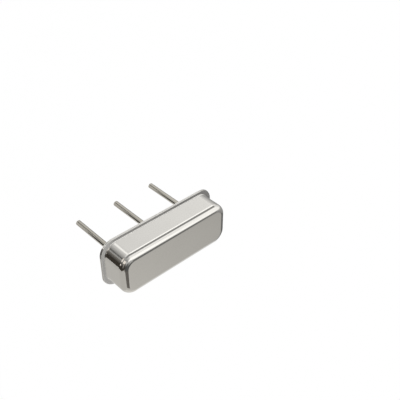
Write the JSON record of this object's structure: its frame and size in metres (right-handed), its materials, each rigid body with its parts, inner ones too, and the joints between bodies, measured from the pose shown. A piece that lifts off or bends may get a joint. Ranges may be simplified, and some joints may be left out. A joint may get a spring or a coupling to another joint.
{
  "type": "surface acoustic wave filter",
  "caption": "Low oblong metal can with rounded corners, welded to a flanged header with wire leads in line: a sealed surface acoustic wave filter for through-hole boards.",
  "frame": {"origin": "centre of the header's underside, the plane that seats on the board, on the ground lead's axis", "axes": "+Z away from the board, up through the can; +X along the row of leads from input to output; the leads point along -Z"},
  "size_m": [0.011, 0.0044, 0.0079],
  "materials": {
    "nickel_cap": "bright nickel plate on drawn steel",
    "nickel_header": "nickel plate on stamped steel",
    "lead_wire": "plated iron-nickel wire",
    "seal_glass": "opaque black sealing glass",
    "die_adhesive": "cured adhesive",
    "piezo_crystal": "polished single crystal",
    "electrode_film": "evaporated aluminium film",
    "bond_wire": "drawn aluminium wire"
  },
  "bodies": {
    "root": {"cap": "nickel_cap", "header_base": "nickel_header", "glass_seal_input": "seal_glass", "glass_seal_output": "seal_glass", "lead_input": "lead_wire", "lead_ground": "lead_wire", "lead_output": "lead_wire", "die_adhesive": "die_adhesive", "saw_chip": "piezo_crystal", "input_signal_comb": "electrode_film", "input_ground_comb": "electrode_film", "output_signal_comb": "electrode_film", "output_ground_comb": "electrode_film", "reflector_input_side": "electrode_film", "reflector_output_side": "electrode_film", "coupling_grating": "electrode_film", "bond_wire_input": "bond_wire", "bond_wire_input_ground": "bond_wire", "bond_wire_output": "bond_wire", "bond_wire_output_ground": "bond_wire"}
  },
  "joints": []
}
